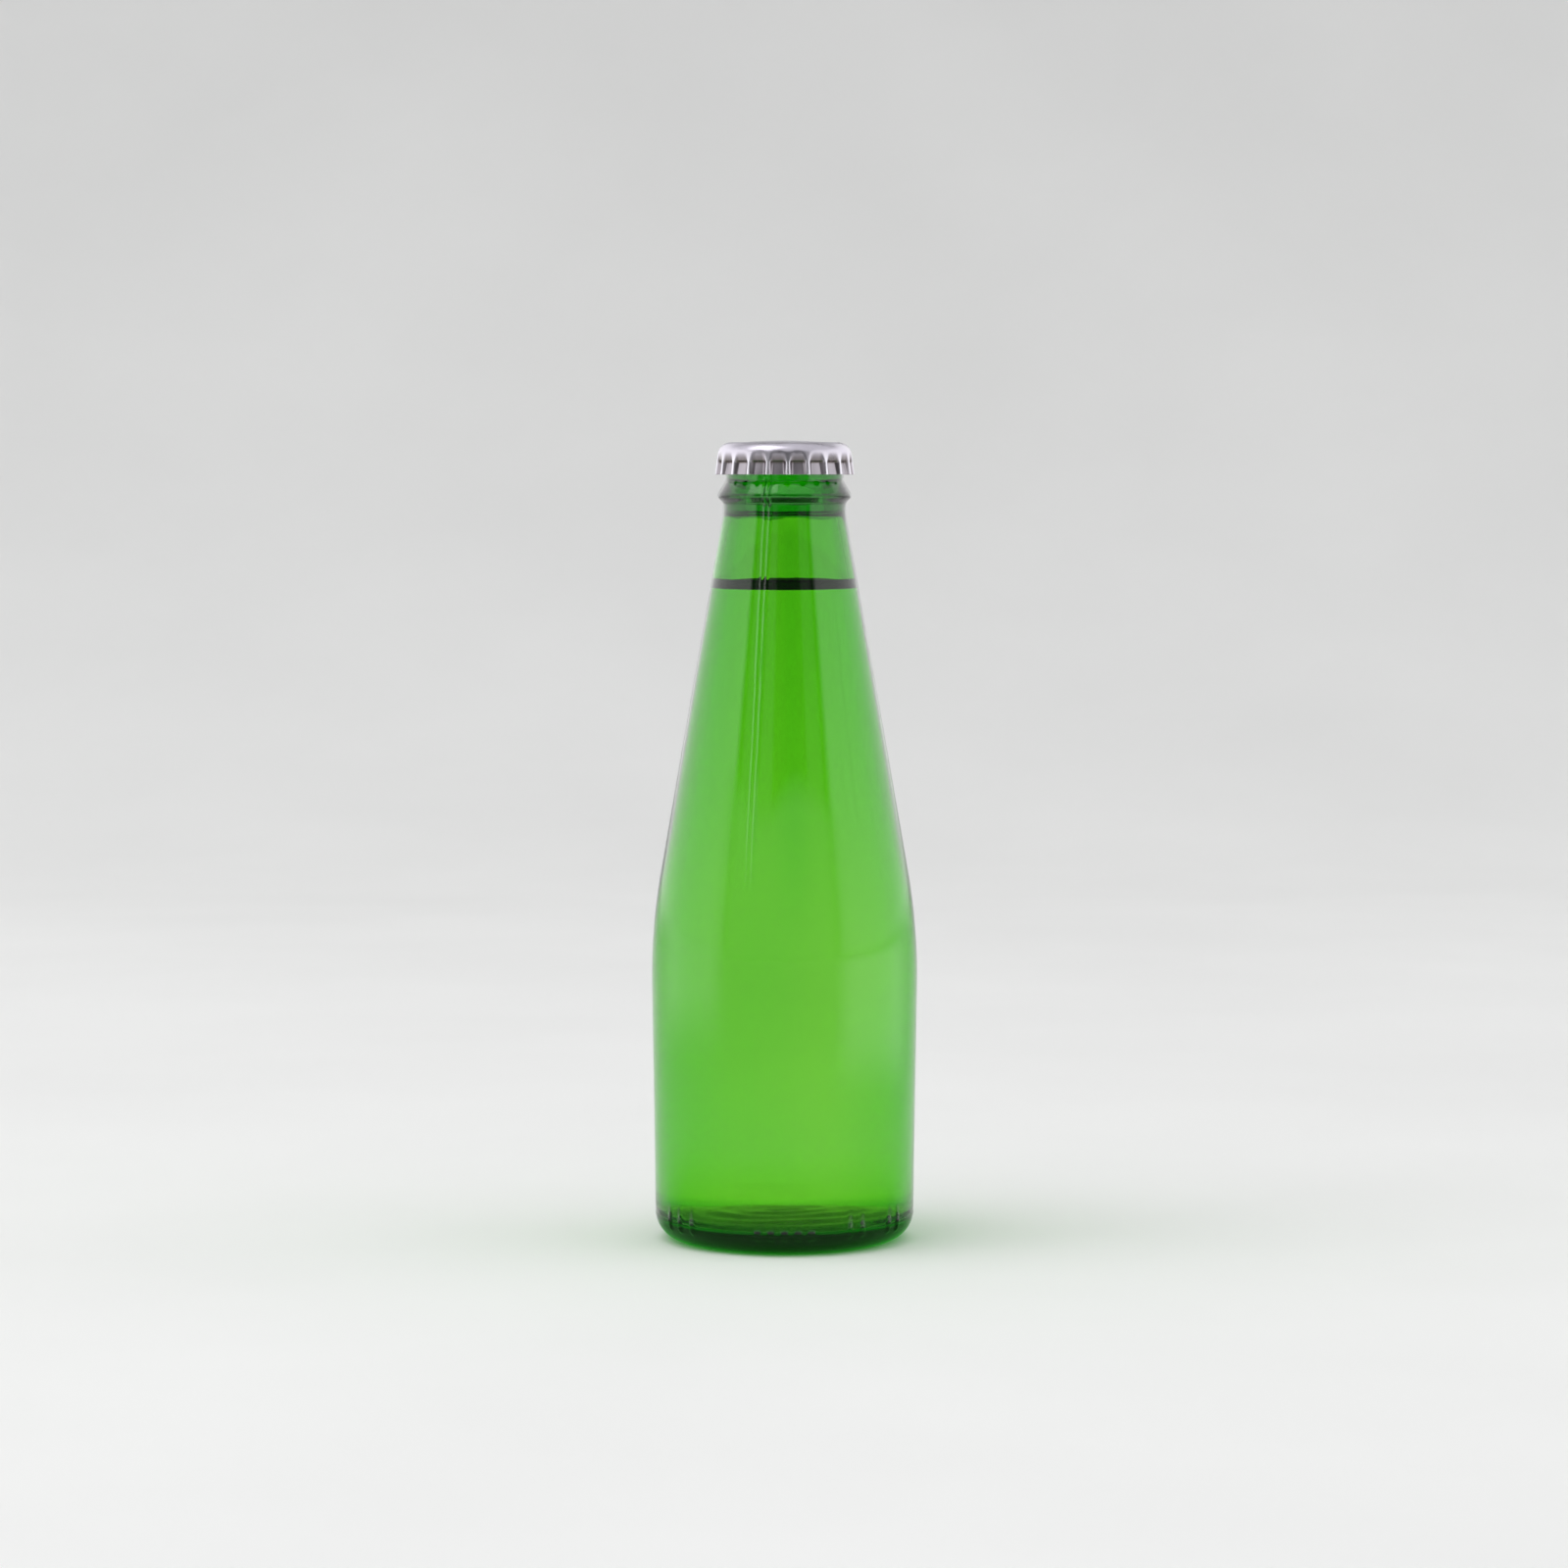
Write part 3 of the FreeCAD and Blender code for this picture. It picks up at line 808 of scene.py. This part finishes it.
@dataclass
class CrownCap:
    """The crown cap: thin tinplate with flutes pressed in under the locking ring."""

    lip_height: float = 164.0
    sheet: float = 0.24
    rise: float = 0.36
    panel_radius: float = 8.8
    radius: float = 13.42
    rounding: float = 2.75
    edge_height: float = 157.65
    flare: float = 0.88
    flutes: int = 21
    flute_phase: float = 3.0
    flute_top: float = 162.7
    crimp_height: float = 160.1
    crimp_depth: float = 0.92
    edge_depth: float = 0.66
    ledge: float = 0.5
    ledge_share: float = 0.38
    rays_per_flute: int = 28
    finish: Tinplate = field(default_factory=Tinplate)

    def section(self, inset: float) -> Grid:
        """Half section along the flute ridges, from the axis down to the skirt's edge."""
        top = self.lip_height + self.sheet - inset
        dome = dome_corners(self.panel_radius, top, top + self.rise, 8)
        skirt_radius = self.radius - inset
        corners = dome + [
            Corner(skirt_radius, top, self.rounding - inset, 0.12, 0.12),
            Corner(self.radius + self.flare - inset, self.edge_height),
        ]
        return sample_section(corners)

    def flute_depth(self, heights: Grid) -> Grid:
        """How far the valleys are pressed in at each height, with a small ledge at the crimp."""
        above = np.clip((self.flute_top - heights) / (self.flute_top - self.crimp_height), 0.0, 1.0)
        below = np.clip((self.crimp_height - heights) / (self.crimp_height - self.edge_height), 0.0, 1.0)
        ledge = smooth_step(self.crimp_height + self.ledge, self.crimp_height, heights)
        deep = self.crimp_depth * ((1.0 - self.ledge_share) * above ** 1.4 + self.ledge_share * ledge)
        return deep + (self.edge_depth - self.crimp_depth) * below

    def flute_wave(self, rays: Grid, heights: Grid) -> Grid:
        """0 on the ridges and 1 in the valleys, whose sides steepen down the skirt."""
        pitch = 360.0 / self.flutes
        from_ridge = np.abs((rays - self.flute_phase + pitch / 2.0) % pitch - pitch / 2.0) / (pitch / 2.0)
        down = np.clip((self.flute_top - heights) / (self.flute_top - self.crimp_height), 0.0, 1.0) ** 0.5
        return smooth_step(0.30 - 0.24 * down, 1.0 - 0.46 * down, from_ridge)

    def shading(self, wave: Grid, heights: Grid) -> tuple[Grid, Grid]:
        """Shares of painted shade in the valleys and of a painted highlight on the ridges, on the
        outside.

        Args:
            wave: 0 on ridges and 1 in valleys, by row and ray.
            heights: height of each row, as a column.

        Returns:
            The pressed share and the raised share of every point.
        """
        # Painted shade: a dark line at the crimp crease, darker valleys above and below it, and darker
        # valley sides.
        crease = np.exp(-((heights - self.crimp_height - 0.15) / 0.22) ** 2)
        upper = smooth_step(self.flute_top - 0.2, self.crimp_height + 0.6, heights)
        upper = upper * smooth_step(self.crimp_height - 0.2, self.crimp_height + 0.2, heights)
        sides = 4.0 * wave * (1.0 - wave) * smooth_step(self.flute_top - 0.6, self.crimp_height, heights)
        lower = smooth_step(self.crimp_height + 0.2, self.crimp_height - 0.2, heights)
        valley_shade = 0.95 * crease * wave ** 2 + (0.8 * upper + 0.5 * lower) * wave + 0.35 * sides
        valley_shade = np.clip(valley_shade, 0.0, 1.0)
        # Painted highlight: lighter ridge crests on the skirt, fading out towards the top of the flutes.
        ridge_highlight = smooth_step(0.35, 0.0, wave) * smooth_step(self.flute_top, self.crimp_height, heights)
        return valley_shade, ridge_highlight * np.ones_like(valley_shade)

    def build(self) -> bpy.types.Object:
        """Make the cap's closed shell, dress it and let it stand for its CAD node."""
        count = self.flutes * self.rays_per_flute
        rays = np.arange(count) * 360.0 / count + self.flute_phase - 180.0
        outside = self.section(0.0)
        section = np.concatenate([outside, self.section(self.sheet)[::-1]])
        radii, heights = section[:, :1], section[:, 1:]
        wave = self.flute_wave(rays, heights)
        uneven = 0.05 * np.cos(np.radians(rays * 3.0)) + 0.03 * np.cos(np.radians(rays * 8.0 + 40.0))
        shown_radii = radii - self.flute_depth(heights) * wave * (1.0 + uneven)
        shown_radii[0] = shown_radii[-1] = 0.0
        shown_heights = np.repeat(heights, count, axis=1)
        piece = turned_piece("crown_cap_shell", shown_radii, shown_heights, rays)
        piece.data.flip_normals()
        # The painted valley shade and ridge highlight go into point attributes, on the outside only.
        tones = self.shading(wave, heights)
        for name, tone in zip((VALLEY_SHADE, RIDGE_HIGHLIGHT), tones):
            tone[len(outside):] = 0.0
            values = np.concatenate([tone[1:-1].ravel(), [0.0, 0.0]])
            piece.data.attributes.new(name, "FLOAT", "POINT").data.foreach_set("value", values)
        piece.data.materials.append(self.finish.material())
        return dressed(piece, "crown_cap")


def dressed(piece: bpy.types.Object, node: str) -> bpy.types.Object:
    """Let a finished piece ride on the root body and stand for its CAD node.

    Args:
        piece: the piece, with its material.
        node: the CAD node that it replaces.

    Returns:
        The same piece.
    """
    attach(piece, Body.ROOT.value)
    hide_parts(node)
    return piece


# --------------------------------------------------------------------------- the studio


@dataclass(frozen=True)
class Panel:
    """A soft-edged light area of the world, between two turns round the object and two tilts."""

    turns: tuple[float, float]
    tilts: tuple[float, float]
    strength: float
    turn_blur: float
    tilt_blur: float


@dataclass
class StudioWorld:
    """Soft surroundings: light from both sides and above, and a plain pale background.

    Camera, glossy and transmission rays see the background, and all other light comes from the
    panels and the base.
    """

    base: float = 0.07
    backdrop: float = 0.90
    tint: Colour = (0.985, 0.99, 1.0)
    panels: tuple[Panel, ...] = (
        Panel((-165.0, -54.0), (-2.0, 38.0), 1.45, 3.0, 4.0),
        Panel((49.0, 165.0), (-2.0, 38.0), 1.35, 4.0, 4.0),
        Panel((-47.0, -13.0), (-2.0, 38.0), 0.28, 2.0, 4.0),
        Panel((25.0, 42.0), (-2.0, 38.0), 0.22, 2.0, 4.0),
        Panel((-200.0, 200.0), (44.0, 110.0), 1.05, 4.0, 8.0),
    )

    def build(self) -> bpy.types.World:
        """Make the world's light and its background."""
        world = bpy.data.worlds.new("studio_world")
        world.use_nodes = True
        self.nodes, self.links = world.node_tree.nodes, world.node_tree.links
        place = self.nodes.new("ShaderNodeSeparateXYZ")
        self.links.new(self.nodes.new("ShaderNodeTexCoord").outputs["Generated"], place.inputs[0])
        away = self.math("MULTIPLY", place.outputs["Y"], -1.0)
        turn = self.math("MULTIPLY", self.math("ARCTAN2", place.outputs["X"], away), 180.0 / math.pi)
        tilt = self.math("MULTIPLY", self.math("ARCSINE", place.outputs["Z"]), 180.0 / math.pi)
        total: Socket | float = self.base
        for panel in self.panels:
            glow = self.band(turn, panel.turns, panel.turn_blur)
            glow = self.math("MULTIPLY", glow, self.band(tilt, panel.tilts, panel.tilt_blur))
            total = self.math("ADD", self.math("MULTIPLY", glow, panel.strength), total)
        paths = self.nodes.new("ShaderNodeLightPath")
        direct = paths.outputs["Is Camera Ray"]
        for kind in ("Is Transmission Ray", "Is Glossy Ray"):
            direct = self.math("MAXIMUM", paths.outputs[kind], direct)
        mix = self.nodes.new("ShaderNodeMix")
        self.links.new(direct, mix.inputs["Factor"])
        self.links.new(total, mix.inputs["A"])
        mix.inputs["B"].default_value = self.backdrop
        background = self.nodes["Background"]
        background.inputs["Color"].default_value = (*self.tint, 1.0)
        self.links.new(mix.outputs["Result"], background.inputs["Strength"])
        return world

    def math(self, operation: str, first: Socket,
             second: Socket | float | None = None) -> Socket:
        """Join one or two values by an operation and return the result's socket."""
        node = self.nodes.new("ShaderNodeMath")
        node.operation = operation
        self.links.new(first, node.inputs[0])
        if isinstance(second, float):
            node.inputs[1].default_value = second
        elif second is not None:
            self.links.new(second, node.inputs[1])
        return node.outputs[0]

    def band(self, value: Socket, ends: tuple[float, float], blur: float) -> Socket:
        """1 between two values and 0 outside them, with soft ends.

        Args:
            value: what is compared.
            ends: the two values, at half strength.
            blur: half width of each soft end.

        Returns:
            The band's socket.
        """
        rise, fall = (self.ease(value, end - blur, end + blur) for end in ends)
        return self.math("SUBTRACT", rise, fall)

    def ease(self, value: Socket, low: float, high: float) -> Socket:
        """Ease from 0 at low to 1 at high."""
        node = self.nodes.new("ShaderNodeMapRange")
        node.interpolation_type = "SMOOTHSTEP"
        node.inputs["From Min"].default_value = low
        node.inputs["From Max"].default_value = high
        self.links.new(value, node.inputs["Value"])
        return node.outputs["Result"]


def reflected_only(name: str, strength: float, colour: Colour = (1.0, 1.0, 1.0)) -> bpy.types.Material:
    """Make a glow, clear where the glow attribute fades.

    Args:
        name: the material's name.
        strength: how bright the glow is.
        colour: its colour.

    Returns:
        The material.
    """
    tree = NodeTree(name)
    light = tree.add("ShaderNodeEmission")
    light.inputs["Strength"].default_value = strength
    light.inputs["Color"].default_value = (*colour, 1.0)
    mix = tree.add("ShaderNodeMixShader")
    tree.join(tree.add("ShaderNodeAttribute", attribute_name=GLOW).outputs["Fac"], mix.inputs["Fac"])
    tree.join(tree.add("ShaderNodeBsdfTransparent").outputs["BSDF"], mix.inputs[1])
    tree.join(light.outputs["Emission"], mix.inputs[2])
    tree.surface(mix.outputs["Shader"])
    return tree.material


def stage_reflected(name: str, points: Grid, glow: Grid, material: bpy.types.Material) -> None:
    """Place a studio card that is kept out of everything but reflections.

    Args:
        name: the card's name.
        points: its grid of points, by row and column, in metres.
        glow: the share of its glow at each point.
        material: its material.
    """
    rows, count = glow.shape
    faces = [(corner, corner + 1, corner + count + 1, corner + count)
             for row in range(rows - 1) for corner in range(row * count, (row + 1) * count - 1)]
    mesh = bpy.data.meshes.new(name)
    mesh.from_pydata(points.reshape(-1, 3).tolist(), [], faces)
    mesh.attributes.new(GLOW, "FLOAT", "POINT").data.foreach_set("value", glow.ravel())
    mesh.materials.append(material)
    card = bpy.data.objects.new(name, mesh)
    bpy.context.scene.collection.objects.link(card)
    card.visible_camera = card.visible_diffuse = False
    card.visible_shadow = card.visible_transmission = False


@dataclass(frozen=True)
class StudioCard:
    """A curved card that stands round the object, seen only as a soft-edged reflection in it.

    turns are its ends, where its glow is half, and a sway above 0 makes its top edge wavy.
    """

    name: str
    turns: tuple[float, float]
    strength: float
    distance: float
    height: float
    turn_blur: float
    foot_blur: float = 0.035
    top_blur: float = 0.008
    sway: float = 0.0
    ray_count: int = 41
    level_count: int = 31

    def build(self) -> None:
        """Make the card's strip, its soft edges and its glow."""
        low, high = self.turns
        rays = np.linspace(low - self.turn_blur, high + self.turn_blur, self.ray_count)
        levels = np.linspace(MM, self.height, self.level_count)
        across, up = np.meshgrid(np.radians(rays), levels)
        up = up * (1.0 + self.sway * np.sin(5.0 * across + 0.6))
        points = np.stack([self.distance * np.sin(across), -self.distance * np.cos(across), up], axis=-1)
        glow = smooth_step(low - self.turn_blur, low + self.turn_blur, rays)
        glow = glow * smooth_step(high + self.turn_blur, high - self.turn_blur, rays)
        edges = smooth_step(0.0, self.foot_blur, levels)
        edges = edges * smooth_step(self.height, self.height - self.top_blur, levels)
        glow = glow[None, :] * edges[:, None]
        stage_reflected(self.name, points, glow, reflected_only(self.name, self.strength))


@dataclass(frozen=True)
class FloorFlag:
    """A dim green glowing soft-edged disc on the floor, seen only as a reflection in the object's foot.

    It is a painted reflection: it darkens and greens the floor that the foot reflects, in place of
    the bottle's shade and the green light that its glass throws round the foot. It fades from
    dark_radius to clear_radius, and to both sides from full_turn to clear_turn.
    """

    clear_radius: float = 0.16
    dark_radius: float = 0.07
    share: float = 0.78
    full_turn: float = 80.0
    clear_turn: float = 125.0
    lift: float = 0.0004
    ring_count: int = 33
    ray_count: int = 73
    # painted reflection: the dim green glow that stands in for light from the green glass
    colour: Colour = (0.03, 0.5, 0.03)

    def build(self) -> None:
        """Make the disc, dark in the middle and clear at its rim and behind."""
        radii = np.linspace(0.0, self.clear_radius, self.ring_count)
        rays = np.linspace(0.0, 360.0, self.ray_count)
        turns = np.radians(rays)
        points = np.stack([np.outer(radii, np.cos(turns)), np.outer(radii, np.sin(turns)),
                           np.full((len(radii), len(turns)), self.lift)], axis=-1)
        aside = np.abs(angle_between(rays, -90.0))
        dark = self.share * np.outer(smooth_step(self.clear_radius, self.dark_radius, radii),
                                     smooth_step(self.clear_turn, self.full_turn, aside))
        stage_reflected("floor_flag", points, dark, reflected_only("floor_flag", 1.0, self.colour))


@dataclass
class Studio:
    """Pale sweep, soft box, cards and the camera."""

    camera_distance: float = 0.950
    camera_height: float = 0.157
    camera_side: float = -0.0001
    camera_pitch: float = 3.79
    lens: float = 106.13
    sensor_width: float = 36.0
    lamp_place: Place = (-0.5, -0.3, 1.3)
    lamp_aim: Place = (0.0, 0.05, 0.0)
    lamp_side: float = 0.9
    lamp_power: float = 4.0
    paper: PaleSurface = field(default_factory=PaleSurface)
    cards: tuple[StudioCard, ...] = (
        StudioCard("panel_left", (-165.0, -54.0), 1.52, 1.20, 1.05, 3.0, 0.08, 0.12),
        StudioCard("panel_right", (49.0, 165.0), 1.42, 1.20, 1.05, 4.0, 0.08, 0.12),
        StudioCard("strip_left", (-47.0, -13.0), 0.35, 1.18, 1.03, 2.0, 0.08, 0.12),
        StudioCard("strip_right", (25.0, 42.0), 0.29, 1.18, 1.03, 2.0, 0.08, 0.12),
        StudioCard("front_flag", (-66.0, 61.0), 0.07, 1.22, 1.12, 4.0, 0.08, 0.12),
        StudioCard("card_left", (-116.0, -50.0), 1.65, 0.28, 0.07, 15.0, foot_blur=0.022),
        StudioCard("card_right", (40.0, 116.0), 1.75, 0.21, 0.06, 15.0, foot_blur=0.018),
        StudioCard("card_front", (-52.0, 46.0), 0.70, 0.12, 0.123, 12.0, sway=0.035),
    )

    def build_camera(self) -> None:
        """Place the camera level with the cap, looking slightly down."""
        data = bpy.data.cameras.new("camera")
        data.lens = self.lens
        data.sensor_width = self.sensor_width
        camera = bpy.data.objects.new("camera", data)
        camera.location = (self.camera_side, -self.camera_distance, self.camera_height)
        camera.rotation_euler = (math.radians(90.0 - self.camera_pitch), 0.0, 0.0)
        bpy.context.scene.collection.objects.link(camera)
        bpy.context.scene.camera = camera

    def build_sweep(self) -> None:
        """Make the floor that curves up into the backdrop."""
        front, back, bend, top, half, bend_steps = -4.0, 1.6, 0.8, 3.0, 4.0, 16
        line = [(front, 0.0), (back - bend, 0.0)]
        line += [(back - bend + bend * math.sin(turn), bend - bend * math.cos(turn))
                 for turn in np.linspace(0.0, math.pi / 2.0, bend_steps + 1)[1:]]
        line.append((back, top))
        vertices = [(side, y, z) for y, z in line for side in (-half, half)]
        faces = [(2 * i, 2 * i + 1, 2 * i + 3, 2 * i + 2) for i in range(len(line) - 1)]
        mesh = bpy.data.meshes.new("sweep")
        mesh.from_pydata(vertices, [], faces)
        mesh.shade_smooth()
        mesh.materials.append(self.paper.material())
        sweep = bpy.data.objects.new("sweep", mesh)
        bpy.context.scene.collection.objects.link(sweep)

    def build_lamps(self) -> None:
        """Hang one soft box overhead and light the rest from the world."""
        data = bpy.data.lights.new("soft_box_top", "AREA")
        data.shape = "RECTANGLE"
        data.size = data.size_y = self.lamp_side
        data.energy = self.lamp_power
        lamp = bpy.data.objects.new("soft_box_top", data)
        place = Vector(self.lamp_place)
        lamp.location = place
        lamp.rotation_euler = (Vector(self.lamp_aim) - place).to_track_quat("-Z", "Y").to_euler()
        bpy.context.scene.collection.objects.link(lamp)
        bpy.context.scene.world = StudioWorld().build()

    def build(self) -> None:
        """Set up everything round the object."""
        bpy.context.scene.view_settings.view_transform = "Standard"
        self.build_camera()
        self.build_sweep()
        self.build_lamps()
        for card in self.cards:
            card.build()
        FloorFlag().build()


def main() -> None:
    """Build the studio, then each piece of the bottle, and report them."""
    logging.basicConfig(level=logging.INFO, format="%(message)s")
    Studio().build()
    bottle = GlassBottle()
    for maker in (bottle, SodaFill(bottle), CrownCap()):
        piece = maker.build()
        LOG.info("%s: %d faces", piece.name, len(piece.data.polygons))


if __name__ == "__main__":
    main()
